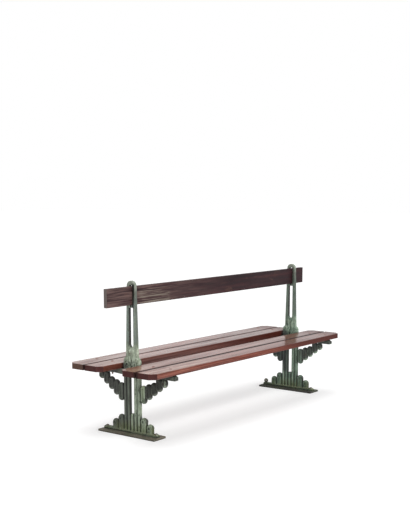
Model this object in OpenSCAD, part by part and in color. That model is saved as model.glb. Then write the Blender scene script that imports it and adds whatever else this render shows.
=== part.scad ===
// Double park bench: two cast iron stands on steel base plates carry a plank seat on each side
// and one back board on edge between them.
// The ground is z = 0, the seats run along X, and the front seat is on the -Y side.

/* [Seats] */
// Length of the seat planks
seat_len = 2135; // [1900:1:2500]
// Height of the seat above the ground
seat_top = 445; // [420:1:480]
// Thickness of the seat planks
plank_t = 35; // [28:1:42]
// Distance from the middle of the bench to the inner edge of each seat
seat_inner_y = 76; // [72:1:90]
// Width of the inner planks
inner_plank_w = 128; // [120:1:150]
// Width of the outer planks
outer_plank_w = 133; // [124:1:160]
// Gap between the two planks of a seat
plank_gap = 8; // [4:1:14]
// Length of the cut at the outer corners of each seat
corner_cut = 36; // [15:1:60]
// Length of the cut at the inner corners of each seat
inner_cut = 32; // [10:1:60]
// Radius on the long edges of the planks
plank_round = 5; // [2:1:9]

/* [Back board] */
// Reach of the back board beyond the planks at the -X end
board_overhang = 22; // [0:1:60]
// Length by which the back board stops short of the planks at the +X end
board_short = 7; // [0:1:30]
// Height of the back board
board_h = 113; // [90:1:140]
// Thickness of the back board
board_t = 25; // [20:1:32]
// Height of the board's lower edge above the ground
board_bottom = 806; // [780:1:860]
// Radius on the long edges of the back board
board_round = 3; // [1:1:6]
// Gap between the board and each bar of its loop
board_clear = 3; // [1:0.5:4]

/* [Stands] */
// Distance from each end of the planks to the middle of the stand there
stand_inset = 176; // [150:1:300]
// How far the stands sit off the middle of the planks, towards +X
stand_shift = 33; // [0:1:50]
// Radius of one reed of a post
reed_r = 14; // [12.5:0.5:14.5]
// Overlap of the two reeds of a post
reed_lap = 1.5; // [1:0.5:4]
// Width of the slot between the two posts
post_gap = 28; // [28:1:36]
// Width of the loop at the collar
loop_foot_w = 93; // [86:1:98]
// Width of the loop at the arch
loop_top_w = 67; // [62:1:74]
// Thickness of the loop along the bench
loop_t = 22; // [18:1:25]
// Height of the loop's cross bar, which the board rests on
rest_t = 17; // [12:1:24]
// Free height between the board's corners and the arch above it
arch_clear = 2; // [1:0.5:8]
// Height of iron in the crown of the arch
arch_crown = 25; // [22:1:36]
// Height from the seat to the lower end of the loop's open slot
collar_rise = 100; // [92:1:120]
// Width of the round head of each post
head_w = 63; // [56:1:64]
// Height of the post heads above the seat
head_rise = 45; // [36:1:56]
// Radius of the rosette on each face of a head
rosette_r = 24; // [18:1:26]
// Chamfer on the edges of the loop
loop_chamfer = 3; // [1:0.5:4]

/* [Seat arms] */
// Width of an arm along the bench
arm_w = 34; // [28:1:44]
// Depth of an arm
arm_t = 32; // [28:1:40]
// Extra depth of the arm where it meets the post
arm_haunch = 4; // [2:1:12]
// Reach of the arm's tip beyond the seat's outer edge
arm_over = 10; // [0:1:20]
// Drop of the tip's top below the planks
tip_drop = 11; // [4:1:12]

/* [Cascades] */
// Number of hanging pipes under each arm
cascade_n = 5; // [4:1:6]
// Overlap of neighbouring hanging pipes
cascade_lap = 6; // [4:1:10]
// Thickness of the hanging pipes along the bench
cascade_t = 28; // [24:1:29]
// Depth of the first pipe's lower end below the arm
cascade_drop = 172; // [160:1:190]
// Straight part of the last pipe between its round ends
cascade_stub = 9; // [4:1:16]
// Free height between the arm and the upper end of the first pipe
cascade_room = 58; // [50:1:66]
// Rise of the upper ends from one free pipe to the next
cascade_step = 14; // [8:0.5:18]

/* [Feet] */
// Thickness of the base plates
plate_t = 12; // [8:1:20]
// Margin of the base plate beyond the flange's sides
plate_side = 38; // [20:1:60]
// Margin of the base plate beyond the flange's ends
plate_end = 10; // [6:1:60]
// How far the base plates and flanges sit off the middle, towards +Y
foot_shift = 16; // [0:1:18]
// Width of the foot flange
flange_w = 36; // [34:1:60]
// Thickness of the foot flange
flange_t = 16; // [12:1:24]
// Width of the foot pipes
foot_pipe_w = 50; // [44:1:54]
// Overlap of neighbouring foot pipes
foot_pipe_lap = 2; // [1:1:6]
// Height of the pipe between the posts
foot_mid_top = 136; // [125:1:160]
// Height of the first pipe beside the posts
foot_top = 120; // [110:1:125]
// Drop from one foot pipe to the next
foot_drop = 34; // [20:1:36]

/* [Fasteners] */
// Diameter of the seat bolts
seat_bolt_d = 10; // [8:1:12]
// Distance from the outer bolts to the seat's outer edge
outer_bolt_inset = 45; // [40:1:52]
// Distance from the inner bolts to the outer edge of the inner planks
inner_bolt_inset = 37; // [30:1:50]
// Length of the inner bolts that shows below the arms
bolt_tail = 14; // [2:1:18]
// Diameter of the foot bolts
foot_bolt_d = 12; // [10:1:13]
// Gap between the last foot pipe and the head of the foot bolt
foot_bolt_room = 23; // [20:1:40]
// Radius of the round knob on one rear foot bolt
knob_r = 16; // [13:0.5:17]
// Diameter of the board screws
screw_d = 7; // [5:0.5:8]
// Gap between a bolt and the hole that it passes through
hole_clear = 0.5; // [0.3:0.1:1]
// Gap between a bolt and the nut or threaded hole that holds it
thread_clear = 0.05; // [0.02:0.01:0.1]

/* [Hidden] */
$fn = 64;

// Seats
plank_bottom = seat_top - plank_t;
inner_plank_y1 = seat_inner_y + inner_plank_w;
outer_plank_y0 = inner_plank_y1 + plank_gap;
seat_outer_y = outer_plank_y0 + outer_plank_w;
inner_bolt_y = inner_plank_y1 - inner_bolt_inset;
outer_bolt_y = seat_outer_y - outer_bolt_inset;
seat_shift = board_overhang / 2;
board_len = seat_len + board_overhang - board_short;
board_shift = -board_short / 2;
stand_spacing = seat_len - 2 * stand_inset;

// Posts
iron_lap = 1;
reed_pitch = 2 * reed_r - reed_lap;
inner_reed_y = post_gap / 2 + reed_r;
outer_reed_y = inner_reed_y + reed_pitch;
post_outer = outer_reed_y + reed_r;

// Feet
flange_top = plate_t + flange_t;
foot_pipe_t = cascade_t;
foot_pipe_n = 2;
foot_pipe_pitch = foot_pipe_w - foot_pipe_lap;
foot_reach = post_outer - iron_lap + foot_pipe_w + (foot_pipe_n - 1) * foot_pipe_pitch;
foot_head_r = foot_bolt_d * 1.1;
foot_bolt_y = foot_reach + foot_head_r + foot_bolt_room;
flange_y = foot_bolt_y + foot_head_r + 6;
flange_corner = 12;
flange_bead = 3;
button_r = foot_pipe_w / 2 - 8;
button_rise = 2;
button_dish = 4;
plate_x = flange_w / 2 + plate_side;
plate_y = flange_y + plate_end;

// Arms and cascades
arm_bottom = plank_bottom - arm_t;
arm_reach = seat_outer_y + arm_over;
tip_r = (arm_t - tip_drop) / 2;
tip_slope = 22;
nut_af = seat_bolt_d * 1.7;
nut_h = seat_bolt_d * 0.8;
washer_t = 2;
washer_r = seat_bolt_d * 1.1;
pocket_r = washer_r + 1;
pocket_floor = 3;
pocket_top = arm_bottom + pocket_floor + nut_h + washer_t;
bolt_room = pocket_r + 10;
cascade_pitch = (outer_bolt_y - bolt_room - post_outer + iron_lap - cascade_lap) / cascade_n;
cascade_w = cascade_pitch + cascade_lap;
cascade_bite = 3;
cascade_last = cascade_w + cascade_stub - cascade_bite;
cascade_rise = (cascade_drop - cascade_last) / (cascade_n - 1);
cascade_free = cascade_n - 2;
hollow_w = 12;
hollow_depth = 3;

// Collar and loop
collar_r = reed_r + 1.5;
collar_y = collar_r - 1;
slot_w = board_t + 2 * board_clear;
slot_bottom = seat_top + collar_rise;
collar_top = slot_bottom - 6;
head_t = 2 * collar_r;
head_y = post_outer - 1 - head_w / 2;
head_top = seat_top + head_rise;
board_top = board_bottom + board_h;
rest_bottom = board_bottom - rest_t;
arch_z = board_top + arch_clear - sqrt(slot_w * slot_w - board_t * board_t) / 2;
loop_top = arch_z + slot_w / 2 + arch_crown;
crown_z = loop_top - loop_top_w / 2;
loop_foot_z = head_top - 12;
crown_r = loop_top_w / 2;
loop_foot_far = norm([loop_foot_w / 2, crown_z - loop_foot_z]);
loop_lean = acos(crown_r / loop_foot_far) - atan2(crown_z - loop_foot_z, loop_foot_w / 2);
shoulder_y = crown_r * cos(loop_lean);
shoulder_z = crown_z + crown_r * sin(loop_lean);
web_drop = 6;
web_recess = 0.5;
rosette_y = head_y - 5;
rosette_z = seat_top - 2;
rosette_rise = 3;
rosette_groove = 4;
rosette_eye = rosette_r * 0.3;

// Board screws
screw_z = board_bottom + board_h / 2;
screw_head_r = screw_d;
screw_head_h = screw_d * 0.6;
screw_washer_t = 1.5;
screw_washer_r = screw_d * 1.1;
screw_into_board = board_t * 0.7;
screw_pad_r = loop_t / 2 - loop_chamfer - 0.2;
screw_pad_y = loop_half(screw_z - screw_pad_r) + 1;

function stand_x(side) = seat_shift + stand_shift + side * stand_spacing / 2;
function cascade_y(i) = post_outer - iron_lap + cascade_w / 2 + i * cascade_pitch;
function cascade_low(i) = arm_bottom - cascade_drop + i * cascade_rise;
function cascade_high(i) =
    i < cascade_free ? arm_bottom - cascade_room + i * cascade_step : arm_bottom + cascade_bite;
function foot_pipe_y(i) = post_outer - iron_lap + foot_pipe_w / 2 + i * foot_pipe_pitch;
function foot_pipe_top(i) = foot_top - i * foot_drop;
// Half the width of the loop at a height below its arch
function loop_half(z) = shoulder_y + (shoulder_z - z) * tan(loop_lean);
// Half the width of the web that fills the gap between the loop's legs
function web_half(z) = (crown_z - z) * tan(loop_lean) + 2;

// Shapes used by several pieces

module rounded_rect(w, h, r) {
    square([w - 2 * r, h], center = true);
    square([w, h - 2 * r], center = true);
    for (sx = [-1, 1])
        for (sy = [-1, 1])
            translate([sx * (w / 2 - r), sy * (h / 2 - r)])
                circle(r);
}

// Extrudes a shape drawn in (Y, Z) along X, centred on x = 0
module along_x(length) {
    rotate([90, 0, 90])
        linear_extrude(length, center = true)
            children();
}

// A flat strip with round sides, w wide along Y and t thick along X
module stadium(w, t) {
    square([t, w - t], center = true);
    for (s = [-1, 1])
        translate([0, s * (w - t) / 2])
            circle(t / 2);
}

// The round upper end of a flat pipe, standing on z = 0
module pipe_end(w, t) {
    rotate([90, 0, 90])
        rotate_extrude(angle = 180)
            intersection() {
                rotate(90)
                    stadium(w, t);
                translate([0, -t])
                    square([w, 2 * t]);
            }
}

// A flat pipe standing between two heights, with round sides and a round upper end
module pipe(w, t, z0, z1, round_foot) {
    low = round_foot ? z0 + w / 2 : z0;
    high = z1 - w / 2;
    translate([0, 0, high])
        pipe_end(w, t);
    if (round_foot)
        translate([0, 0, low])
            rotate([180, 0, 0])
                pipe_end(w, t);
    translate([0, 0, low])
        linear_extrude(high - low)
            stadium(w, t);
}

// A round rod standing between two heights, with a round upper end
module rod(r, z0, z1) {
    translate([0, 0, z0])
        rotate_extrude() {
            square([r, z1 - r - z0]);
            intersection() {
                translate([0, z1 - r - z0])
                    circle(r);
                translate([0, z1 - r - z0])
                    square(r);
            }
        }
}

module hole_z(d, z0, z1) {
    translate([0, 0, z0])
        cylinder(r = d / 2 + hole_clear, h = z1 - z0);
}

// A low domed head that sits on z = 0
module round_head(r, h) {
    ball = (r * r + h * h) / (2 * h);
    intersection() {
        translate([0, 0, h - ball])
            sphere(ball);
        cylinder(r = r, h = h);
    }
}

module hex_nut(af, h, d) {
    difference() {
        intersection() {
            cylinder(r = af / 2 / cos(30), h = h, $fn = 6);
            translate([0, 0, -af * 0.36])
                cylinder(r1 = af * 0.94, r2 = af * 0.4, h = h + af * 0.46);
        }
        translate([0, 0, -1])
            cylinder(r = d / 2 + thread_clear, h = h + 2);
    }
}

// Wooden pieces

module plank(side, y0, y1, cut0, cut1, bolt_y) {
    difference() {
        intersection() {
            translate([seat_shift, side * (y0 + y1) / 2, seat_top - plank_t / 2])
                along_x(seat_len)
                    rounded_rect(y1 - y0, plank_t, plank_round);
            translate([seat_shift, 0, plank_bottom - 1])
                linear_extrude(plank_t + 2)
                    polygon([
                        [-seat_len / 2 + cut0, side * y0], [-seat_len / 2, side * (y0 + cut0)],
                        [-seat_len / 2, side * (y1 - cut1)], [-seat_len / 2 + cut1, side * y1],
                        [seat_len / 2 - cut1, side * y1], [seat_len / 2, side * (y1 - cut1)],
                        [seat_len / 2, side * (y0 + cut0)], [seat_len / 2 - cut0, side * y0]
                    ]);
        }
        for (s = [-1, 1])
            translate([stand_x(s), side * bolt_y, 0])
                hole_z(seat_bolt_d, plank_bottom - 1, seat_top + 1);
    }
}

module inner_plank(side) {
    color([0.50, 0.30, 0.25])
        plank(side, seat_inner_y, inner_plank_y1, inner_cut, 0, inner_bolt_y);
}

module outer_plank(side) {
    color([0.48, 0.27, 0.22])
        plank(side, outer_plank_y0, seat_outer_y, 0, corner_cut, outer_bolt_y);
}

module back_board() {
    color([0.27, 0.19, 0.20])
        difference() {
            translate([board_shift, 0, board_bottom + board_h / 2])
                along_x(board_len)
                    rounded_rect(board_t, board_h, board_round);
            for (s = [-1, 1])
                translate([stand_x(s), board_t / 2 - screw_into_board, screw_z])
                    rotate([-90, 0, 0])
                        cylinder(r = screw_d / 2 + thread_clear, h = board_t);
        }
}

// Cast iron stand, made at x = 0

module foot() {
    translate([0, foot_shift, plate_t])
        linear_extrude(flange_t - flange_bead)
            rounded_rect(flange_w, 2 * flange_y, flange_corner);
    translate([0, foot_shift, plate_t])
        linear_extrude(flange_t)
            rounded_rect(flange_w - 2 * flange_bead, 2 * (flange_y - flange_bead), flange_corner - flange_bead);
    pipe(post_gap + 2 * iron_lap, foot_pipe_t, flange_top - iron_lap, foot_mid_top, false);
    for (s = [-1, 1])
        for (i = [0:foot_pipe_n - 1])
            translate([0, s * foot_pipe_y(i), 0])
                pipe(foot_pipe_w, foot_pipe_t, flange_top - iron_lap, foot_pipe_top(i), false);
    along_x(foot_pipe_t + 2 * button_rise)
        foot_buttons(button_r);
}

// Discs in the round heads of the foot pipes, as a shape in (Y, Z)
module foot_buttons(r) {
    for (s = [-1, 1])
        for (i = [0:foot_pipe_n - 1])
            translate([s * foot_pipe_y(i), foot_pipe_top(i) - foot_pipe_w / 2])
                circle(r);
}

// Cuts a shape drawn in (Y, Z) into both faces of a wall that is t thick along X
module both_faces(t, depth) {
    for (f = [-1, 1])
        translate([f * t / 2, 0, 0])
            along_x(2 * depth)
                children();
}

module posts() {
    for (s = [-1, 1])
        for (y = [inner_reed_y, outer_reed_y])
            translate([0, s * y, flange_top - iron_lap])
                cylinder(r = reed_r, h = plank_bottom - flange_top);
}

module cascades() {
    for (s = [-1, 1])
        for (i = [0:cascade_n - 1])
            translate([0, s * cascade_y(i), 0])
                pipe(cascade_w, cascade_t, cascade_low(i), cascade_high(i), true);
}

// Long hollows down the middle of the hanging pipes, as a shape in (Y, Z)
module cascade_hollows() {
    for (s = [-1, 1])
        for (i = [0:cascade_n - 1]) {
            low = cascade_low(i) + cascade_w / 2;
            high = min(cascade_high(i), arm_bottom) - cascade_w / 2;
            translate([s * cascade_y(i), 0]) {
                translate([-hollow_w / 2, low])
                    square([hollow_w, high - low]);
                translate([0, low])
                    circle(hollow_w / 2);
                translate([0, high])
                    circle(hollow_w / 2);
            }
        }
}

module arm_profile() {
    haunch_y = cascade_y(1);
    tip_y = arm_reach - tip_r;
    tip_z = arm_bottom + tip_r;
    polygon([
        [-tip_y + tip_slope, plank_bottom], [tip_y - tip_slope, plank_bottom],
        for (a = [90:-15:-90]) [tip_y + tip_r * cos(a), tip_z + tip_r * sin(a)],
        [haunch_y, arm_bottom], [post_outer, arm_bottom - arm_haunch],
        [-post_outer, arm_bottom - arm_haunch], [-haunch_y, arm_bottom],
        for (a = [-90:15:90]) [-tip_y - tip_r * cos(a), tip_z + tip_r * sin(a)]
    ]);
}

module arms() {
    intersection() {
        along_x(arm_w)
            arm_profile();
        translate([0, 0, arm_bottom - arm_haunch - 1])
            linear_extrude(arm_t + arm_haunch + 2)
                rounded_rect(arm_w, 2 * arm_reach, arm_w / 2 - 0.01);
    }
}

module collar() {
    for (s = [-1, 1]) {
        translate([0, s * collar_y, 0])
            rod(collar_r, arm_bottom - arm_haunch, collar_top);
        translate([0, s * head_y, 0])
            pipe(head_w, head_t, arm_bottom - arm_haunch, head_top, false);
    }
    along_x(head_t + 2 * rosette_rise)
        at_rosettes()
            circle(rosette_r);
}

// Places a shape in (Y, Z) on the middles of both rosettes
module at_rosettes() {
    for (s = [-1, 1])
        translate([s * rosette_y, rosette_z])
            children();
}

// The ring groove and the eye of a rosette
module rosette_relief() {
    circle(rosette_eye);
    difference() {
        circle(rosette_r - rosette_groove);
        circle(rosette_r - 2 * rosette_groove);
    }
}

// The loop's section from the middle of its arch outwards, with chamfers on the outer edge
module loop_section() {
    polygon([
        [0, -loop_t / 2], [crown_r - loop_chamfer, -loop_t / 2],
        [crown_r, loop_chamfer - loop_t / 2], [crown_r, loop_t / 2 - loop_chamfer],
        [crown_r - loop_chamfer, loop_t / 2], [0, loop_t / 2]
    ]);
}

// The loop before its slots are cut: a round crown, two legs that lean outwards, and a web
module loop_body() {
    leg = norm([loop_foot_w / 2 - shoulder_y, shoulder_z - loop_foot_z]);
    low = loop_foot_z - web_drop;
    high = slot_bottom + slot_w / 2;
    translate([0, 0, crown_z]) {
        rotate([90, 0, 90])
            rotate([0, 0, loop_lean])
                rotate_extrude(angle = 180 - 2 * loop_lean)
                    loop_section();
        for (turn = [0, 180])
            rotate([0, 0, turn])
                rotate([loop_lean, 0, 0])
                    rotate([180, 0, 90])
                        linear_extrude(leg)
                            loop_section();
    }
    along_x(loop_t - 2 * web_recess)
        polygon([
            [-web_half(low), low], [web_half(low), low], [web_half(high), high], [-web_half(high), high]
        ]);
}

// The open slot and the board's opening, as a shape in (Y, Z)
module loop_slots() {
    translate([0, slot_bottom + slot_w / 2])
        circle(slot_w / 2);
    translate([-slot_w / 2, slot_bottom + slot_w / 2])
        square([slot_w, rest_bottom - slot_bottom - slot_w / 2]);
    translate([-slot_w / 2, board_bottom])
        square([slot_w, arch_z - board_bottom]);
    translate([0, arch_z])
        circle(slot_w / 2);
}

// Square bars up both sides of the open slot, which chamfer its edges
module slot_chamfers() {
    low = slot_bottom + slot_w / 2;
    side = loop_chamfer * sqrt(2);
    for (s = [-1, 1])
        for (f = [-1, 1])
            translate([f * loop_t / 2, s * slot_w / 2, low])
                linear_extrude(rest_bottom - low)
                    rotate(45)
                        square(side, center = true);
}

module loop() {
    difference() {
        loop_body();
        along_x(loop_t + 2)
            loop_slots();
        slot_chamfers();
    }
    translate([0, slot_w / 2 + loop_chamfer, screw_z])
        rotate([-90, 0, 0])
            cylinder(r = screw_pad_r, h = screw_pad_y - slot_w / 2 - loop_chamfer);
}

module stand() {
    difference() {
        union() {
            foot();
            posts();
            cascades();
            arms();
            collar();
            loop();
        }
        both_faces(foot_pipe_t + 2 * button_rise, button_dish)
            foot_buttons(button_r / 2);
        both_faces(cascade_t, hollow_depth)
            cascade_hollows();
        both_faces(head_t + 2 * rosette_rise, rosette_groove)
            at_rosettes()
                rosette_relief();
        for (s = [-1, 1]) {
            translate([0, foot_shift + s * foot_bolt_y, 0])
                hole_z(foot_bolt_d, plate_t - 1, flange_top + 1);
            for (y = [inner_bolt_y, outer_bolt_y])
                translate([0, s * y, 0]) {
                    hole_z(seat_bolt_d, pocket_top - 1, plank_bottom + 1);
                    translate([0, 0, arm_bottom - 1])
                        cylinder(r = pocket_r, h = pocket_top - arm_bottom + 1);
                }
        }
        translate([0, 0, screw_z])
            rotate([-90, 0, 0])
                cylinder(r = screw_d / 2 + hole_clear, h = loop_foot_w);
    }
}

module stand_at(side) {
    color([0.36, 0.43, 0.38])
        translate([stand_x(side), 0, 0])
            stand();
}

module base_plate(side) {
    color([0.32, 0.27, 0.24])
        translate([stand_x(side), foot_shift, 0])
            difference() {
                linear_extrude(plate_t)
                    rounded_rect(2 * plate_x, 2 * plate_y, 3);
                for (s = [-1, 1])
                    translate([0, s * foot_bolt_y, -1])
                        cylinder(r = foot_bolt_d / 2 + thread_clear, h = plate_t + 2);
            }
}

// Fasteners

// A seat bolt whose shank ends at the height low
module seat_bolt(low) {
    translate([0, 0, seat_top])
        round_head(seat_bolt_d * 1.15, seat_bolt_d * 0.35);
    translate([0, 0, low])
        cylinder(r = seat_bolt_d / 2, h = seat_top - low + 0.1);
}

module at_seat_bolts(side, ys) {
    for (s = [-1, 1])
        for (y = ys)
            translate([stand_x(s), side * y, 0])
                children();
}

module seat_bolts(side) {
    color([0.35, 0.31, 0.28]) {
        at_seat_bolts(side, [inner_bolt_y])
            seat_bolt(arm_bottom - bolt_tail);
        at_seat_bolts(side, [outer_bolt_y])
            seat_bolt(arm_bottom + 1);
    }
}

module seat_washers(side) {
    color([0.40, 0.36, 0.33])
        at_seat_bolts(side, [inner_bolt_y, outer_bolt_y])
            translate([0, 0, pocket_top - washer_t])
                difference() {
                    cylinder(r = washer_r, h = washer_t);
                    hole_z(seat_bolt_d, -1, washer_t + 1);
                }
}

module seat_nuts(side) {
    color([0.38, 0.34, 0.31])
        at_seat_bolts(side, [inner_bolt_y, outer_bolt_y])
            translate([0, 0, arm_bottom + pocket_floor])
                hex_nut(nut_af, nut_h, seat_bolt_d);
}

module foot_shank() {
    translate([0, 0, 1])
        cylinder(r = foot_bolt_d / 2, h = flange_top - 0.9);
}

module foot_bolt() {
    foot_shank();
    translate([0, 0, flange_top])
        round_head(foot_head_r, foot_bolt_d * 0.75);
}

// A ball with a flat underside, screwed on in place of a lost head
module foot_knob() {
    foot_shank();
    intersection() {
        translate([0, 0, flange_top + knob_r * 0.9])
            sphere(knob_r);
        translate([0, 0, flange_top])
            cylinder(r = knob_r + 1, h = 2 * knob_r);
    }
}

module foot_bolts(side) {
    color([0.37, 0.35, 0.32])
        translate([stand_x(side), foot_shift, 0]) {
            translate([0, -foot_bolt_y, 0])
                foot_bolt();
            translate([0, foot_bolt_y, 0])
                if (side > 0)
                    foot_knob();
                else
                    foot_bolt();
        }
}

module at_board_screws() {
    for (s = [-1, 1])
        translate([stand_x(s), 0, screw_z])
            rotate([-90, 0, 0])
                children();
}

module board_screws() {
    seat = screw_pad_y + screw_washer_t;
    color([0.42, 0.39, 0.36])
        at_board_screws() {
            translate([0, 0, seat])
                round_head(screw_head_r, screw_head_h);
            translate([0, 0, board_t / 2 - screw_into_board])
                cylinder(r = screw_d / 2, h = seat - board_t / 2 + screw_into_board + 0.1);
        }
}

module board_screw_washers() {
    color([0.45, 0.42, 0.39])
        at_board_screws()
            translate([0, 0, screw_pad_y])
                difference() {
                    cylinder(r = screw_washer_r, h = screw_washer_t);
                    hole_z(screw_d, -1, screw_washer_t + 1);
                }
}

base_plate(-1);  // left_base_plate
base_plate(1);  // right_base_plate
stand_at(-1);  // left_stand
stand_at(1);  // right_stand
outer_plank(-1);  // front_outer_plank
inner_plank(-1);  // front_inner_plank
inner_plank(1);  // rear_inner_plank
outer_plank(1);  // rear_outer_plank
back_board();
seat_bolts(-1);  // front_seat_bolts
seat_bolts(1);  // rear_seat_bolts
seat_washers(-1);  // front_seat_washers
seat_washers(1);  // rear_seat_washers
seat_nuts(-1);  // front_seat_nuts
seat_nuts(1);  // rear_seat_nuts
foot_bolts(-1);  // left_foot_bolts
foot_bolts(1);  // right_foot_bolts
board_screws();
board_screw_washers();
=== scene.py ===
"""Looks of the double park bench: varnished planks, a dark back board and old green cast iron stands.

Everything is in metres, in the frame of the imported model: the seats run along X, the front seat
is on the -Y side, and the ground is z = 0.
"""

import math

import bmesh
import bpy
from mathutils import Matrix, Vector


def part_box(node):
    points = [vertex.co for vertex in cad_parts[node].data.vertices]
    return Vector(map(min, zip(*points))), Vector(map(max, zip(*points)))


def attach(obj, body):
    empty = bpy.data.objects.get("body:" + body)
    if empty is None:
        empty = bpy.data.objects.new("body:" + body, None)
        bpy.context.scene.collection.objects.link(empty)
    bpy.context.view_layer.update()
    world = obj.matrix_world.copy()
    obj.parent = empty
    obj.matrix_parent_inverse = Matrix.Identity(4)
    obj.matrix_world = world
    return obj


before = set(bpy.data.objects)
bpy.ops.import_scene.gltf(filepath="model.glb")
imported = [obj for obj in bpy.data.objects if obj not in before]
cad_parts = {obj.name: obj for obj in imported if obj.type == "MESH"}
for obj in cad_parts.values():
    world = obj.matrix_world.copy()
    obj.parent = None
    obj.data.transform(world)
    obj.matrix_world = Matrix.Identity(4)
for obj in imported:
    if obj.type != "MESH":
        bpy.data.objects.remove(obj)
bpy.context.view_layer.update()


def span(node, axis):
    """A CAD node's lowest and highest coordinate along the axis, which is X, Y or Z."""
    number = "XYZ".index(axis)
    low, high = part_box(node)
    return low[number], high[number]


def above(level, *offsets):
    return tuple(level + offset for offset in offsets)


# Levels and distances that the looks are measured from
PLATE_TOP = span("left_base_plate", "Z")[1]
FLANGE_TOP = PLATE_TOP + 0.016
SEAT_UNDER, SEAT_TOP = span("front_inner_plank", "Z")
BOARD_BOTTOM, BOARD_TOP = span("back_board", "Z")
INNER_EDGE, GAP_START = span("rear_inner_plank", "Y")
GAP_END = span("rear_outer_plank", "Y")[0]
GAP_MIDDLE = (GAP_START + GAP_END) / 2

# Two numbers below are where a look begins and is full, or is full and ends. Four numbers are a band,
# which begins, is full, begins to fade and ends

# The wood by height, by the distance from Y = 0 and by the distance from a plank's middle line
UNDER_SHADE = above(SEAT_UNDER, -0.002, 0.022)
SMEAR_TOP = above(BOARD_TOP, -0.039, -0.017)
INNER_SHADE = above(INNER_EDGE, 0.002, 0.008)
BORDER_SHADE = (0.040, 0.070)
# The wood along a plank, from 0 at its left end to 1 at its right end
BORDERS_DARKEN = (0.214, 0.776)
RIGHT_DARKENS = (0.401, 0.823)
SIDES_DARKEN = (0.518, 0.776)
TIP_DARKENS = (0.870, 0.982)
SIDES_DULL = (0.167, 0.823)
GLOSS_FADES = (0.167, 0.963)
SMEAR_ALONG = (0.120, 0.144, 0.260, 0.274)

# The stands by height
JOINT = above(PLATE_TOP, 0.006, 0.010)
# Where the painted highlight runs along the flange's upper edge
FLANGE_HIGHLIGHT_BAND = above(FLANGE_TOP, -0.0055, -0.0018, 0.0020, 0.0060)
RUN_OFF = above(FLANGE_TOP, 0.002, 0.082)
FRONT_POST_UP = above(FLANGE_TOP, 0.072, 0.132)
# Where the cascades' faces that turn down get painted light
CASCADE_UNDERSIDES_LIT = above(SEAT_UNDER, -0.260, -0.220, -0.015, 0.002)
# Where soot and painted shade lie on the cascades under the seats
CASCADE_SOOT_AND_SHADE = above(SEAT_UNDER, -0.250, -0.210, 0.002, 0.015)
FRONT_PIPES_UP = above(SEAT_UNDER, -0.190, -0.130, -0.030, 0.000)
REAR_HALF_TOP = above(SEAT_TOP, -0.015, 0.025)
COLLAR_PAINT = above(SEAT_TOP, -0.010, 0.010, 0.075, 0.115)
# Where the collar is freed of painted shade and dirt
COLLAR_LIT = above(SEAT_TOP, -0.010, 0.005, 0.100, 0.130)
UPPER_BARS = above(SEAT_TOP, 0.095, 0.155)
# Where the back board's painted shadow lies on the loop, by height
LOOP_SHADOW_UP = above(BOARD_BOTTOM, -0.101, -0.056) + above(BOARD_TOP, 0.006, 0.021)
CROWN = (BOARD_BOTTOM + 0.014, BOARD_TOP - 0.014)
ARCH = above(BOARD_TOP, -0.039, 0.001)
# The stands by Y, and past the posts by the distance from Y = 0
FRONT_PIPES_END = (-0.080, -0.076)
FRONT_POST = (-0.086, -0.074, -0.024, -0.014)
# Where the back board's painted shadow lies on the loop, by Y
LOOP_SHADOW_ACROSS = (-0.032, -0.028, -0.010, -0.006)
REAR_HALF = (0.004, 0.030)
FLANGE_HIGHLIGHT_END = (0.090, 0.150)
PAST_POSTS = (0.104, 0.116)
# The board's painted shadow on the loop has a slanted lower end, where the height plus LEAN times Y is
# between two levels
LEAN = 17.8
SLANTED_END = (0.335, 0.385)

# The lower edge of a base plate, which gets painted shade
PLATE_EDGE = above(PLATE_TOP, -0.009, -0.002)

# Colours that are laid over the wood
DRY_WOOD = (0.300, 0.170, 0.110)
WOOD_SHADE = (0.036, 0.010, 0.009)
# Painted shade on the planks' sides towards their right ends
SHADE_ON_RIGHT_SIDES = (0.064, 0.014, 0.010)
# Dirt and painted shade in the wood's hollows and grooves
WOOD_DIRT_AND_SHADE = (0.022, 0.010, 0.009)
PALE_SMEAR = (0.300, 0.290, 0.225)
# Colours that are laid over the iron's paint
DARK_PATCH = (0.036, 0.044, 0.032)
CROWN_PAINT = (0.330, 0.342, 0.280)
# The back board's shadow, painted on the loop's front leg
BOARD_SHADOW_ON_LOOP = (0.014, 0.015, 0.013)
# Painted shade on the iron's faces towards -Y
PAINTED_SIDE_SHADE = (0.022, 0.020, 0.018)
FOOT_GREEN = (0.120, 0.145, 0.050)
# A painted highlight along the flange's upper edge
FLANGE_HIGHLIGHT = (0.330, 0.370, 0.230)
# Dirt and painted shade in the iron's hollows and joint
IRON_DIRT_AND_SHADE = (0.012, 0.012, 0.010)
CHIPPED_PAINT = (0.340, 0.390, 0.300)
CHIPPED_IN_SOOT_AND_SHADE = (0.260, 0.265, 0.235)
IRON_RUST = (0.085, 0.050, 0.028)
# Colours of the plates, bolts and other steel
PLATE_GREEN = (0.085, 0.100, 0.055)
# Dirt and painted shade on the plates
PLATE_DIRT_AND_SHADE = (0.012, 0.012, 0.009)
BOLT_RUST = (0.095, 0.052, 0.030)
PLAIN_STEEL = (0.160, 0.150, 0.140)
GREEN_STEEL = (0.200, 0.220, 0.190)
VARNISHED_STEEL = ((0.070, 0.022, 0.016), (0.150, 0.046, 0.030), (0.240, 0.100, 0.065))

# Looks that the two kinds of wood don't share
SEAT_WOOD = {
    "palette": ((0.062, 0.013, 0.010), (0.178, 0.042, 0.026), (0.325, 0.094, 0.055)),
    "blot_scale": (4.5, 36.0, 36.0), "roughness": 0.75, "shine": 0.06, "worn": 0.22,
}
BOARD_WOOD = {
    "palette": ((0.005, 0.002, 0.003), (0.021, 0.007, 0.010), (0.062, 0.026, 0.027)),
    "blot_scale": (3.4, 95.0, 95.0), "roughness": 0.95, "shine": 0.12, "worn": 0.30,
}
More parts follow.
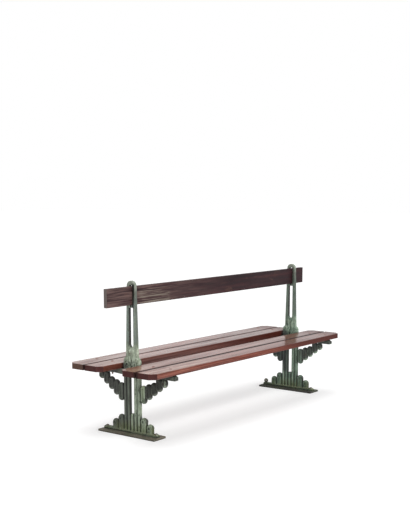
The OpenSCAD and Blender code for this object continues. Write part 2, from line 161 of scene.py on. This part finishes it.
# What both planks of a seat share. A groove is how far off the gap's middle it lies, and half its width
FRONT_SEAT = {"fading": 0.02, "groove": (0.003, 0.013)}
REAR_SEAT = {"fading": 0.20, "groove": (0.000, 0.009)}
PLANKS = {
    "front_outer_plank": {
        **FRONT_SEAT, "end_grain": (0.074, 0.024, 0.022), "gloss": 0.66,
        "bleach": (0.420, 0.260, 0.200), "bleach_ends": (0.158, 0.448), "bleach_on_sides": 0.10,
    },
    "front_inner_plank": {
        **FRONT_SEAT, "end_grain": (0.074, 0.024, 0.022), "gloss": 0.74,
        "bleach": (0.270, 0.135, 0.088), "bleach_ends": (0.026, 0.331), "bleach_on_sides": 0.15,
    },
    "rear_inner_plank": {
        **REAR_SEAT, "end_grain": (0.074, 0.024, 0.022), "gloss": 0.93,
        "bleach": (0.270, 0.135, 0.092), "bleach_ends": (0.026, 0.401), "bleach_on_sides": 0.15,
    },
    "rear_outer_plank": {
        **REAR_SEAT, "end_grain": (0.125, 0.074, 0.054), "gloss": 0.93,
        "bleach": (0.280, 0.150, 0.105), "bleach_ends": (0.026, 0.401), "bleach_on_sides": 0.15,
    },
}
BOARD = {
    "fading": 0.0, "end_grain": (0.240, 0.200, 0.185), "gloss": 0.05,
    "bleach": (0.165, 0.104, 0.094), "bleach_ends": (0.046, 0.618), "bleach_on_sides": 1.0,
}

# The paint goes from dark to pale. The front pipes get painted light from a Y to the posts, the rear half is
# darker from a level up, the board's painted shadow and the soot with painted shade have their own amounts,
# and clear is how far the collar is freed of painted shade and dirt and how much painted light the cascades'
# faces that turn down get
LEFT_IRON = {
    "seed": 3.1,
    "paint": ((0.072, 0.087, 0.058), (0.240, 0.288, 0.204), (0.360, 0.430, 0.325), (0.550, 0.620, 0.495)),
    "upper": (0.235, 0.290, 0.262), "soot_and_shade": (0.024, 0.024, 0.022), "board_shadow": 0.95, "clear": 0.30,
    "pipes": (0.430, 0.520, 0.340), "pipes_amount": 0.80, "pipes_from": -0.102,
    "rear": (0.082, 0.088, 0.078), "rear_amount": 0.80, "rear_from": 0.02,
}
RIGHT_IRON = {
    "seed": 6.2,
    "paint": ((0.050, 0.078, 0.058), (0.140, 0.205, 0.155), (0.215, 0.310, 0.235), (0.380, 0.480, 0.370)),
    "upper": (0.175, 0.222, 0.186), "soot_and_shade": (0.072, 0.080, 0.074), "board_shadow": 0.30, "clear": 0.92,
    "pipes": (0.190, 0.235, 0.200), "pipes_amount": 0.65, "pipes_from": -0.150,
    "rear": (0.056, 0.058, 0.066), "rear_amount": 0.75, "rear_from": 0.12,
}
LEFT_PLATE = (1.3, ((0.060, 0.048, 0.036), (0.135, 0.118, 0.088), (0.215, 0.195, 0.150)))
RIGHT_PLATE = (4.4, ((0.018, 0.017, 0.015), (0.038, 0.036, 0.030), (0.080, 0.076, 0.062)))
SEAT_BOLTS = ["front_seat_bolts", "rear_seat_bolts"]
FASTENERS = [
    "front_seat_washers", "rear_seat_washers", "front_seat_nuts", "rear_seat_nuts",
    "board_screws", "board_screw_washers",
]
FOOT_BOLTS = ["left_foot_bolts", "right_foot_bolts"]

# The camera, as the photograph's perspective gives it
PHOTO_HEIGHT = 527
FOCAL_PIXELS = 964.02
CAMERA_AT = Vector((-5.1646, -3.8835, 1.4672))
CAMERA_AZIMUTH = math.radians(-52.389)
CAMERA_ELEVATION = math.radians(9.376)
# The photograph is cut off above the middle of the view, by this many pixels
CAMERA_RISE = 89.5
SENSOR = 36.0
VIEW_END = 200.0

# The room's even light, and the two soft lights: the way to each, how wide it is, and its power
ROOM_LIGHT = 0.42
OVERHEAD = (Vector((-0.05, 0.05, 1.0)).normalized(), math.radians(36), 1.25)
FRONT = (Vector((-0.24, -1.0, 0.36)).normalized(), math.radians(55), 2.4)
LAMP_DISTANCE = 6.0
# The floor lies just under the plates. What it reflects is filled up to a level by its own white
FLOOR_HALF = 60.0
FLOOR_Z = -0.0003
FLOOR_REFLECTS = 0.60
FLOOR_LEVEL = 1.14
# What the bench sees the floor reflect
FLOOR_BOUNCE = 0.55


class Graph:
    """A node tree, with one short call for each kind of node."""

    def __init__(self, tree):
        self.tree = tree
        tree.nodes.clear()

    def add(self, kind, **settings):
        node = self.tree.nodes.new(kind)
        for key, value in settings.items():
            setattr(node, key, value)
        return node

    def put(self, socket, value):
        """Links value to the socket if it is a socket itself, and else sets it."""
        if isinstance(value, bpy.types.NodeSocket):
            self.tree.links.new(value, socket)
        elif hasattr(value, "__len__") and len(value) == 3 and socket.type == "RGBA":
            socket.default_value = (*value, 1.0)
        else:
            socket.default_value = value

    def maths(self, operation, first, second=0.0, clamp=False):
        node = self.add("ShaderNodeMath", operation=operation, use_clamp=clamp)
        self.put(node.inputs[0], first)
        self.put(node.inputs[1], second)
        return node.outputs[0]

    def times(self, product, *factors):
        for factor in factors:
            product = self.maths("MULTIPLY", product, factor)
        return product

    def most(self, highest, *others):
        for other in others:
            highest = self.maths("MAXIMUM", highest, other)
        return highest

    def less(self, *factors):
        """1 minus the product of the factors."""
        return self.maths("SUBTRACT", 1.0, self.times(*factors))

    def seen_rays(self):
        """1 for rays from the camera and for mirror and glass rays, and 0 for all others."""
        rays = self.add("ShaderNodeLightPath").outputs
        return self.most(rays["Is Camera Ray"], rays["Is Glossy Ray"], rays["Is Transmission Ray"])


class Material(Graph):
    """A principled material, whose colour can be laid down coat by coat."""

    def __init__(self, name):
        self.material = bpy.data.materials.new(name)
        self.material.use_nodes = True
        super().__init__(self.material.node_tree)
        output = self.add("ShaderNodeOutputMaterial")
        self.shader = self.add("ShaderNodeBsdfPrincipled")
        self.tree.links.new(self.shader.outputs[0], output.inputs["Surface"])
        self.place = self.add("ShaderNodeTexCoord").outputs["Object"]

    def set(self, **values):
        """Sets or links the shader's sockets, where Base_Color stands for Base Color."""
        for key, value in values.items():
            self.put(self.shader.inputs[key.replace("_", " ")], value)

    def coat(self, colour, *amounts):
        """Lays a colour over what is there, by the product of the amounts."""
        self.colour = self.mix(self.times(*amounts), self.colour, colour)

    def axis(self, vector, name):
        node = self.add("ShaderNodeSeparateXYZ")
        self.put(node.inputs[0], vector)
        return node.outputs[name]

    def at(self, axis):
        """The coordinate along the axis, which is X, Y or Z."""
        return self.axis(self.place, axis)

    def normal(self):
        return self.add("ShaderNodeNewGeometry").outputs["Normal"]

    def facing(self, axis):
        """How far a face turns towards the axis, from -1 to 1."""
        return self.axis(self.normal(), axis)

    def size(self, value):
        return self.maths("ABSOLUTE", value)

    def noise(self, scale, shift=(0, 0, 0), detail=5.0, rough=0.7, twist=0.0):
        """Noise over the object, stretched by the scale of each axis and then shifted."""
        mapping = self.add("ShaderNodeMapping")
        self.put(mapping.inputs["Vector"], self.place)
        mapping.inputs["Scale"].default_value = scale
        mapping.inputs["Location"].default_value = shift
        node = self.add("ShaderNodeTexNoise")
        self.put(node.inputs["Vector"], mapping.outputs[0])
        node.inputs["Scale"].default_value = 1.0
        node.inputs["Detail"].default_value = detail
        node.inputs["Roughness"].default_value = rough
        node.inputs["Distortion"].default_value = twist
        return node.outputs["Fac"]

    def vector(self, operation, first, second=(0, 0, 0)):
        node = self.add("ShaderNodeVectorMath", operation=operation)
        self.put(node.inputs[0], first)
        self.put(node.inputs[1], second)
        return node.outputs["Value" if operation in ("LENGTH", "DOT_PRODUCT") else "Vector"]

    def ramp(self, value, *stops):
        """A colour ramp, where each stop is (position, colour) and a colour may be one number."""
        node = self.add("ShaderNodeValToRGB")
        self.put(node.inputs[0], value)
        elements = node.color_ramp.elements
        while len(elements) < len(stops):
            elements.new(1.0)
        for element, (position, colour) in zip(elements, stops):
            element.position = position
            element.color = (*colour, 1) if hasattr(colour, "__len__") else (colour, colour, colour, 1)
        return node.outputs["Color"]

    def mix(self, amount, under, over):
        node = self.add("ShaderNodeMix", data_type="RGBA")
        self.put(node.inputs["Factor"], amount)
        self.put(node.inputs[6], under)
        self.put(node.inputs[7], over)
        return node.outputs[2]

    def fade(self, value, low, high):
        """0 below low and 1 above high, with a smooth step between them."""
        node = self.add("ShaderNodeMapRange", interpolation_type="SMOOTHSTEP")
        for key, number in (("Value", value), ("From Min", low), ("From Max", high)):
            self.put(node.inputs[key], number)
        return node.outputs["Result"]

    def fall(self, value, low, high):
        """1 below low and 0 above high, with a smooth step between them."""
        return self.less(self.fade(value, low, high))

    def between(self, value, begin, full, fading, end):
        """1 from full to fading, and 0 before begin and after end."""
        return self.times(self.fade(value, begin, full), self.fall(value, fading, end))

    def corners(self, radius):
        """About 1 on sharp edges and 0 on flat faces, from how far a rounded normal turns away."""
        bevel = self.add("ShaderNodeBevel", samples=6)
        bevel.inputs["Radius"].default_value = radius
        kept = self.vector("DOT_PRODUCT", bevel.outputs[0], self.normal())
        return self.maths("SUBTRACT", 1.0, kept, clamp=True)

    def hollows(self, distance):
        """1 in narrow gaps and 0 in the open."""
        node = self.add("ShaderNodeAmbientOcclusion", samples=6)
        node.inputs["Distance"].default_value = distance
        return self.maths("SUBTRACT", 1.0, node.outputs["AO"], clamp=True)

    def bump(self, height, strength, distance):
        node = self.add("ShaderNodeBump")
        node.inputs["Strength"].default_value = strength
        node.inputs["Distance"].default_value = distance
        self.put(node.inputs["Height"], height)
        return node.outputs[0]


def dress(names, material):
    for name in names:
        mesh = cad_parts[name].data
        mesh.materials.clear()
        mesh.materials.append(material)


def add_mesh(name, made, material):
    """Puts a built mesh into the scene."""
    mesh = bpy.data.meshes.new(name)
    made.to_mesh(mesh)
    made.free()
    mesh.materials.append(material)
    thing = bpy.data.objects.new(name, mesh)
    bpy.context.scene.collection.objects.link(thing)
    return thing


# Wood

class Wood(Material):
    """Sawn wood along X, with growth rings about a pith line, streaks, pores and worn patches."""

    def __init__(self, name, node, seed, pith, kind, look):
        super().__init__(name)
        self.seed, self.kind, self.look = seed, kind, look
        self.dark, self.heart, self.light = kind["palette"]
        left, right = span(node, "X")
        self.along = self.maths("DIVIDE", self.maths("SUBTRACT", self.at("X"), left), right - left)
        self.middle_line = abs(sum(span(node, "Y")) / 2)
        self.off_centre = self.size(self.at("Y"))
        self.height = self.at("Z")
        self.ends = self.fade(self.size(self.facing("X")), 0.48, 0.66)
        self.sides = self.fade(self.size(self.facing("Y")), 0.70, 0.90)
        self.grow(pith)
        self.blots = self.noise(kind["blot_scale"], (seed, seed, 3), 6.0, 0.65, 0.4)
        self.patches = self.noise((4.0, 14.0, 14.0), (0, seed, 0), 5.0, 0.62, 0.5)
        sharp = self.maths("MULTIPLY", self.corners(0.004), 2.4, clamp=True)
        self.worn_edges = self.times(sharp, self.fade(self.patches, 0.46, 0.60))
        # Dirt and painted shade in the wood's hollows
        self.dirt_and_shade = self.fade(self.hollows(0.02), 0.35, 0.85)
        # Wood that isn't shaded has no dark border and no dark tip
        self.border = 0.0
        self.tip = 0.0

    def grow(self, pith):
        """The rings, streaks, broad bands and pores, and the fresh wood's colour."""
        seed, rings_per_metre = self.seed, 240.0
        wander = self.noise((0.7, 5.0, 5.0), (seed, seed * 2, 0), 3.0, 0.5)
        bent = self.vector("ADD", self.place, self.vector("MULTIPLY", (0.0, 0.05, 0.05), wander))
        across = self.vector("MULTIPLY", self.vector("SUBTRACT", bent, (0.0, *pith)), (0, 1, 1))
        turns = self.maths("FRACT", self.times(self.vector("LENGTH", across), rings_per_metre))
        self.rings = self.ramp(turns, (0.0, 0.25), (0.62, 0.5), (0.9, 1.0), (1.0, 0.25))
        self.streaks = self.noise((2.4, 60.0, 60.0), (seed * 3, 0, seed), 6.0, 0.6, 0.4)
        broad = self.noise((0.9, 9.0, 9.0), (seed, 0, seed * 5), 3.0, 0.5, 0.8)
        self.pores = self.noise((30.0, 1100.0, 1100.0), (seed, 0, 0), 2.0, 0.5)
        tone = self.mix(0.50, self.streaks, self.mix(0.5, broad, self.rings))
        self.colour = self.ramp(tone, (0.36, self.dark), (0.50, self.heart), (0.64, self.light))
        self.coat(self.dark, self.fade(self.pores, 0.60, 0.72), 0.55)

    def weather(self):
        """Bleaches the left end, and wears patches and edges down to bare wood."""
        on_sides = self.look["bleach_on_sides"]
        upward = self.fade(self.facing("Z"), 0.5, 0.9)
        facing = self.maths("ADD", self.times(upward, 1.0 - on_sides), on_sides)
        left = self.fall(self.along, *self.look["bleach_ends"])
        self.coat(self.look["bleach"], left, facing, self.fade(self.blots, 0.36, 0.62), 0.8)
        patches = self.times(self.fade(self.patches, 0.58, 0.70), self.kind["worn"])
        self.bare = self.maths("MAXIMUM", patches, self.times(self.worn_edges, 0.7), clamp=True)
        self.coat(self.mix(0.6, DRY_WOOD, self.light), self.bare)

    def smear(self):
        """An old pale smear beside the left loop."""
        reach = self.times(self.between(self.along, *SMEAR_ALONG), self.fall(self.height, *SMEAR_TOP))
        self.coat(PALE_SMEAR, reach, self.fade(self.blots, 0.47, 0.66), 0.45)

    def saw_ends(self):
        """End grain, with darker rings and lighter worn edges."""
        grain = self.mix(self.times(self.rings, 0.5), self.look["end_grain"], self.dark)
        self.coat(self.mix(self.times(self.worn_edges, 0.6), grain, self.light), self.ends)

    def shade(self):
        """Painted shade: darkens a seat plank low on its sides, between the seats, along its borders and to
        the right.
        """
        low = self.times(self.fall(self.height, *UNDER_SHADE), 0.55)
        inner = self.times(self.fall(self.off_centre, *INNER_SHADE), 0.58)
        low_sides = self.times(self.most(low, inner), self.sides)
        off_line = self.size(self.maths("SUBTRACT", self.off_centre, self.middle_line))
        ragged = self.maths("ADD", off_line, self.times(self.streaks, 0.012))
        growing = self.ramp(self.fade(self.along, *BORDERS_DARKEN), (0.0, 0.25), (1.0, 0.60))
        self.border = self.times(self.fade(ragged, *BORDER_SHADE), self.less(self.sides), growing)
        self.tip = self.times(self.fade(self.along, *TIP_DARKENS), 0.65)
        right = self.times(self.fade(self.along, *RIGHT_DARKENS), 0.455)
        self.coat(WOOD_SHADE, self.most(low_sides, self.tip, right, self.border))
        # Deeper painted shade on the plank's sides towards its right end
        self.coat(SHADE_ON_RIGHT_SIDES, self.sides, self.fade(self.along, *SIDES_DARKEN), 0.78)

    def groove(self, off_gap, half_width):
        """Dirt and painted shade in and beside the gap between a seat's planks."""
        beside = self.size(self.maths("SUBTRACT", self.off_centre, GAP_MIDDLE + off_gap))
        beside = self.maths("ADD", beside, self.times(self.patches, 0.004))
        self.dirt_and_shade = self.most(self.dirt_and_shade, self.fall(beside, half_width, half_width * 1.65))

    def gloss(self):
        """How much varnish there is: little where the wood has dirt and painted shade, and where it is sawn,
        dull or blotchy.
        """
        full = self.look["gloss"]
        dulled_by_dirt_and_shade = self.times(self.dirt_and_shade, 0.85)
        dull = self.most(dulled_by_dirt_and_shade, self.times(self.ends, 0.7), self.times(self.border, 0.8))
        patchy = self.ramp(self.mix(0.7, self.blots, self.streaks), (0.41, full * 0.30), (0.54, full))
        fading = self.less(self.fade(self.along, *GLOSS_FADES), self.look["fading"])
        dull_sides = self.ramp(self.fade(self.along, *SIDES_DULL), (0.0, 0.25), (1.0, 0.92))
        tired = self.most(self.times(self.tip, 0.8), self.times(self.sides, dull_sides))
        return self.times(self.less(dull), patchy, fading, self.less(tired))

    def finish(self):
        """Lays the dirt and painted shade on, and gives the material its varnish, roughness and relief."""
        self.coat(WOOD_DIRT_AND_SHADE, self.dirt_and_shade, 0.88)
        rough = self.times(self.mix(0.4, self.streaks, self.blots), self.kind["roughness"])
        rough = self.maths("ADD", rough, self.times(self.most(self.bare, self.ends), 0.25), clamp=True)
        relief = self.mix(0.4, self.streaks, self.mix(0.5, self.pores, self.rings))
        self.set(
            Base_Color=self.colour, Roughness=rough, Specular_IOR_Level=self.kind["shine"],
            Coat_Weight=self.gloss(), Coat_Roughness=0.12, Normal=self.bump(relief, 0.25, 0.0006),
        )
        return self.material


def seat_wood(number, node):
    """The wood of one plank, each with its own seed and its own place in the log."""
    look = PLANKS[node]
    seed = 1.7 * number
    pith = (seed * 0.07 - 0.2, 0.33)
    wood = Wood("seat_wood_" + str(number), node, seed, pith, SEAT_WOOD, look)
    wood.weather()
    wood.saw_ends()
    wood.shade()
    wood.groove(*look["groove"])
    return wood.finish()


def board_wood():
    wood = Wood("back_wood", "back_board", 7.3, (0.09, 0.80), BOARD_WOOD, BOARD)
    wood.weather()
    wood.smear()
    wood.saw_ends()
    return wood.finish()


def batten_stations():
    """The X of a batten's sections, from just right of one stand to just left of the other."""
    off_stand, cap, first_step, step = 0.0055, 0.004, 0.0235, 0.10
    start = span("left_stand", "X")[1] + off_stand
    end = span("right_stand", "X")[0] - off_stand
    steps = math.ceil((end - start - first_step) / step)
    inside = [start + first_step + step * number for number in range(steps)]
    return [start, start + cap, *inside, end - cap, end]


def batten(name, side, material):
    """A slim bar under the inner edge of one inner plank, from stand to stand, with a wavy underside."""
    near, far = above(INNER_EDGE, 0.002, 0.024)
    low, high = above(SEAT_UNDER, -0.013, -0.0002)
    stations = batten_stations()
    made = bmesh.new()
    rims = []
    for number, x in enumerate(stations):
        ease = 0.0022 if x in (stations[0], stations[-1]) else 0.0012
        dip = 0.0006 * math.sin(3.1 * number + side)
        rims.append([made.verts.new((x, side * y, z)) for y, z in (
            (near, high), (near, low + ease + dip), (near + ease, low + dip),
            (far - ease, low + dip), (far, low + ease + dip), (far, high),
        )])
    for first, second in zip(rims, rims[1:]):
        for corner in range(len(first)):
            after = (corner + 1) % len(first)
            made.faces.new((first[corner], first[after], second[after], second[corner]))
    made.faces.new(rims[0])
    made.faces.new(rims[-1])
    bmesh.ops.recalc_face_normals(made, faces=made.faces)
    thing = add_mesh(name, made, material)
    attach(thing, "root")


# Iron and steel

class Iron(Material):
    """Old green paint on cast iron: verdigris tones, dark bare patches and pale bloom."""

    def __init__(self, name, look):
        super().__init__(name)
        self.look = look
        self.seed, self.pale = look["seed"], look["paint"][-1]
        self.clouds = self.noise((16, 16, 7), (self.seed, 0, 0), 6.0, 0.62, 0.8)
        self.specks = self.noise((60, 60, 38), (0, self.seed, 0), 5.0, 0.65)
        runs = self.noise((70, 70, 3), (self.seed, self.seed, 0), 4.0, 0.6)
        patches = self.noise((52, 52, 20), (self.seed, 9, self.seed), 5.0, 0.68, 0.6)
        self.across = self.at("Y")
        self.height = self.at("Z")
        self.past_posts = self.fade(self.size(self.across), *PAST_POSTS)
        self.tone = self.mix(0.45, self.clouds, self.mix(0.6, self.specks, runs))
        self.colour = self.ramp(self.tone, *zip((0.36, 0.46, 0.54, 0.65), look["paint"]))
        self.coat(DARK_PATCH, self.fade(patches, 0.54, 0.62), 0.70)
        self.coat(self.pale, self.fall(patches, 0.36, 0.44), 0.55)

    def turned(self, axis):
        """How far a face turns to the negative side of the axis."""
        return self.times(self.facing(axis), -1.0)

    def repaint(self):
        """Paler, more worn paint on the collar, the upper bars and the crown."""
        thin = self.fade(self.specks, 0.36, 0.50)
        collar = self.between(self.height, *COLLAR_PAINT)
        self.coat(self.pale, collar, self.fade(self.specks, 0.44, 0.58), 0.75)
        self.coat(self.look["upper"], self.fade(self.height, *UPPER_BARS), thin, 0.80)
        self.coat(CROWN_PAINT, self.fade(self.height, *CROWN), thin, 0.70)

    def paint_board_shadow(self):
        """A painted shadow of the back board on the loop's front leg, with a slanted lower end."""
        slanted = self.fade(self.maths("ADD", self.height, self.times(self.across, LEAN)), *SLANTED_END)
        leg = self.times(self.between(self.across, *LOOP_SHADOW_ACROSS), self.between(self.height, *LOOP_SHADOW_UP))
        self.coat(BOARD_SHADOW_ON_LOOP, leg, slanted, self.look["board_shadow"])

    def brighten_pipes(self):
        """Painted light on the front cascade's pipes, next to the posts."""
        start = self.look["pipes_from"]
        pipes = self.between(self.across, start - 0.004, start, *FRONT_PIPES_END)
        reach = self.between(self.height, *FRONT_PIPES_UP)
        self.coat(self.look["pipes"], pipes, reach, self.look["pipes_amount"])

    def soot_and_shade(self):
        """Soot where the rain doesn't reach, with painted shade, on the cascades and arms under the seats;
        the rear half below the rear seat is darker.
        """
        cascades = self.times(self.past_posts, self.between(self.height, *CASCADE_SOOT_AND_SHADE))
        self.soot_and_shade_mask = self.times(cascades, self.fall(self.tone, 0.50, 0.66))
        self.coat(self.look["soot_and_shade"], self.soot_and_shade_mask, 0.95)
        start = self.look["rear_from"]
        reach = self.between(self.height, start, start + 0.03, *REAR_HALF_TOP)
        self.coat(self.look["rear"], self.fade(self.across, *REAR_HALF), reach, self.look["rear_amount"])

    def paint_side_shade(self):
        """Painted shade on faces towards -Y, less on the collar, the arch and the front posts."""
        # The collar keeps less of the painted shade and dirt, by the clear number
        self.shade_kept = self.less(self.between(self.height, *COLLAR_LIT), self.look["clear"])
        arch = self.less(self.fade(self.height, *ARCH), 0.75)
        post = self.times(self.between(self.across, *FRONT_POST), self.fade(self.height, *FRONT_POST_UP))
        upward = self.ramp(self.height, *zip(UPPER_BARS, (0.80, 0.36)))
        side = self.times(self.fade(self.turned("Y"), 0.42, 0.76), 0.92)
        self.coat(PAINTED_SIDE_SHADE, side, self.shade_kept, arch, self.less(post, upward))

    def paint_light_under_cascades(self):
        """Painted light on the cascades' faces that turn down."""
        rims = self.times(self.past_posts, self.fade(self.turned("Z"), -0.10, 0.60))
        self.coat(self.pale, rims, self.between(self.height, *CASCADE_UNDERSIDES_LIT), self.look["clear"])

    def foot(self):
        """Green run-off at the foot, and a painted highlight along the flange's upper edge."""
        self.coat(FOOT_GREEN, self.fall(self.height, *RUN_OFF), self.fade(self.clouds, 0.38, 0.56), 0.65)
        line = self.between(self.height, *FLANGE_HIGHLIGHT_BAND)
        self.coat(FLANGE_HIGHLIGHT, line, self.fall(self.across, *FLANGE_HIGHLIGHT_END), 0.85)

    def lay_dirt_and_shade(self):
        """Dirt and painted shade in the hollows, and a dark joint under the flange, with painted shade
        making it darker to the rear.
        """
        rearward = self.maths("ADD", self.times(self.across, 4.0), 0.5)
        joint = self.times(self.fall(self.height, *JOINT), self.ramp(rearward, (0.20, 0.45), (0.60, 1.0)))
        hollows = self.times(self.fade(self.hollows(0.040), 0.20, 0.58), self.shade_kept)
        self.coat(IRON_DIRT_AND_SHADE, self.most(hollows, joint), 0.90)

    def wear(self):
        """Chipped edges, and rust."""
        edges = self.maths("MULTIPLY", self.corners(0.003), 3.0, clamp=True)
        chips = self.most(self.fade(self.specks, 0.44, 0.56), self.times(self.soot_and_shade_mask, 0.6))
        self.coat(self.mix(self.soot_and_shade_mask, CHIPPED_PAINT, CHIPPED_IN_SOOT_AND_SHADE), edges, chips, 0.75)
        rust = self.noise((24, 24, 16), (self.seed, 5, 0), 6.0, 0.7, 0.3)
        self.coat(IRON_RUST, self.fade(rust, 0.60, 0.70), 0.75)

    def finish(self):
        """Gives the material its colour, roughness and relief."""
        grain = self.noise((900, 900, 900), detail=3.0, rough=0.6)
        self.set(
            Base_Color=self.colour, Roughness=self.maths("ADD", self.times(self.specks, 0.35), 0.40),
            Specular_IOR_Level=0.3, Normal=self.bump(self.mix(0.5, self.specks, grain), 0.5, 0.0012),
        )
        return self.material


def painted_iron(name, look):
    iron = Iron(name, look)
    iron.repaint()
    iron.paint_board_shadow()
    iron.brighten_pipes()
    iron.soot_and_shade()
    iron.paint_side_shade()
    iron.paint_light_under_cascades()
    iron.foot()
    iron.lay_dirt_and_shade()
    iron.wear()
    return iron.finish()


def rusty_plate(name, seed, palette):
    """Thick steel plate gone brown, with dark scale, green run-off, dirt and painted shade in its hollows,
    and painted shade on its lower edge.
    """
    steel = Material(name)
    clouds = steel.noise((16, 9, 16), (seed, seed, 0), 7.0, 0.66, 0.7)
    specks = steel.noise((180, 180, 180), detail=5.0, rough=0.7)
    steel.colour = steel.ramp(steel.mix(0.4, clouds, specks), *zip((0.34, 0.48, 0.60), palette))
    green = steel.noise((11, 15, 11), (0, seed, 2), 5.0, 0.6)
    steel.coat(PLATE_GREEN, steel.fade(green, 0.48, 0.62), 0.5)
    # Dirt and painted shade in the hollows, and painted shade on the lower edge
    dirt_and_shade = steel.times(steel.fade(steel.hollows(0.02), 0.3, 0.85), 0.85)
    low = steel.times(steel.fall(steel.at("Z"), *PLATE_EDGE), 0.65)
    steel.coat(PLATE_DIRT_AND_SHADE, steel.most(dirt_and_shade, low))
    steel.set(
        Base_Color=steel.colour, Roughness=steel.maths("ADD", steel.times(specks, 0.3), 0.55),
        Metallic=0.1, Normal=steel.bump(steel.mix(0.5, clouds, specks), 0.6, 0.002),
    )
    return steel.material


def bolt_steel(name, tint):
    """Dull steel with brown rust in patches."""
    steel = Material(name)
    specks = steel.noise((260, 260, 260), detail=6.0, rough=0.7)
    rust = steel.fade(steel.noise((90, 90, 90), detail=5.0, rough=0.65), 0.42, 0.60)
    steel.set(
        Base_Color=steel.mix(rust, tint, BOLT_RUST), Metallic=0.45,
        Roughness=steel.maths("ADD", steel.times(specks, 0.35), 0.3), Normal=steel.bump(specks, 0.5, 0.0006),
    )
    return steel.material


def varnished_head():
    """Bolt heads under brown varnish."""
    steel = Material("varnished_steel")
    specks = steel.noise((210, 210, 210), detail=6.0, rough=0.7)
    steel.set(
        Base_Color=steel.ramp(specks, *zip((0.38, 0.52, 0.64), VARNISHED_STEEL)),
        Roughness=steel.maths("ADD", steel.times(specks, 0.4), 0.25),
        Coat_Weight=0.6, Coat_Roughness=0.22, Normal=steel.bump(specks, 0.5, 0.0006),
    )
    return steel.material


# Stage, camera and light

def floor_material():
    """White paper that keeps the soft shadow and runs into the white background."""
    falls = ROOM_LIGHT + sum(way.z * power for way, _, power in (OVERHEAD, FRONT)) / math.pi
    paper = Material("paper_floor")
    seen = paper.seen_rays()
    paper.set(
        Base_Color=paper.mix(seen, (FLOOR_BOUNCE,) * 3, (FLOOR_REFLECTS,) * 3), Roughness=0.9,
        Specular_IOR_Level=0.0, Emission_Color=(1, 1, 1),
        Emission_Strength=paper.times(seen, FLOOR_LEVEL - FLOOR_REFLECTS * falls),
    )
    return paper.material


def stage():
    made = bmesh.new()
    bmesh.ops.create_grid(made, x_segments=8, y_segments=8, size=FLOOR_HALF)
    bmesh.ops.translate(made, vec=(0, 0, FLOOR_Z), verts=made.verts)
    floor = add_mesh("floor", made, floor_material())


def room():
    """White to the camera and in reflections, and an even light on the bench."""
    world = bpy.data.worlds.new("white_studio")
    bpy.context.scene.world = world
    world.use_nodes = True
    graph = Graph(world.node_tree)
    level = graph.add("ShaderNodeMapRange")
    level.inputs["To Min"].default_value = ROOM_LIGHT
    level.inputs["To Max"].default_value = 1.0
    graph.put(level.inputs["Value"], graph.seen_rays())
    background = graph.add("ShaderNodeBackground")
    background.inputs["Color"].default_value = (1, 1, 1, 1)
    graph.put(background.inputs["Strength"], level.outputs[0])
    graph.put(graph.add("ShaderNodeOutputWorld").inputs["Surface"], background.outputs[0])


def soft_light(name, way, spread, power):
    """A wide, even light from one side, the same all over the floor."""
    data = bpy.data.lights.new(name, "SUN")
    data.angle = spread
    data.energy = power
    lamp = bpy.data.objects.new(name, data)
    lamp.location = way * LAMP_DISTANCE
    lamp.rotation_mode = "QUATERNION"
    lamp.rotation_quaternion = way.to_track_quat("Z", "Y")
    bpy.context.scene.collection.objects.link(lamp)


def camera():
    data = bpy.data.cameras.new("photo_camera")
    data.sensor_width = SENSOR
    data.sensor_fit = "AUTO"
    data.lens = SENSOR * FOCAL_PIXELS / PHOTO_HEIGHT
    data.shift_y = CAMERA_RISE / PHOTO_HEIGHT
    data.clip_end = VIEW_END
    thing = bpy.data.objects.new("photo_camera", data)
    back = Vector((
        math.sin(CAMERA_AZIMUTH) * math.cos(CAMERA_ELEVATION),
        -math.cos(CAMERA_AZIMUTH) * math.cos(CAMERA_ELEVATION),
        math.sin(CAMERA_ELEVATION),
    ))
    thing.location = CAMERA_AT
    thing.rotation_mode = "QUATERNION"
    thing.rotation_quaternion = (-back).to_track_quat("-Z", "Y")
    bpy.context.scene.collection.objects.link(thing)
    bpy.context.scene.camera = thing


for number, plank in enumerate(PLANKS, start=1):
    varnished = seat_wood(number, plank)
    dress([plank], varnished)
    if "inner" in plank:
        batten(plank.replace("inner_plank", "batten"), -1 if plank.startswith("front") else 1, varnished)
dress(["back_board"], board_wood())
dress(["left_stand"], painted_iron("left_iron", LEFT_IRON))
dress(["right_stand"], painted_iron("right_iron", RIGHT_IRON))
dress(["left_base_plate"], rusty_plate("left_plate_steel", *LEFT_PLATE))
dress(["right_base_plate"], rusty_plate("right_plate_steel", *RIGHT_PLATE))
dress(FASTENERS, bolt_steel("bolt_steel", PLAIN_STEEL))
dress(SEAT_BOLTS, varnished_head())
dress(FOOT_BOLTS, bolt_steel("foot_bolt_steel", GREEN_STEEL))

stage()
room()
camera()
soft_light("overhead", *OVERHEAD)
soft_light("front", *FRONT)

bpy.context.scene.view_settings.view_transform = "Standard"
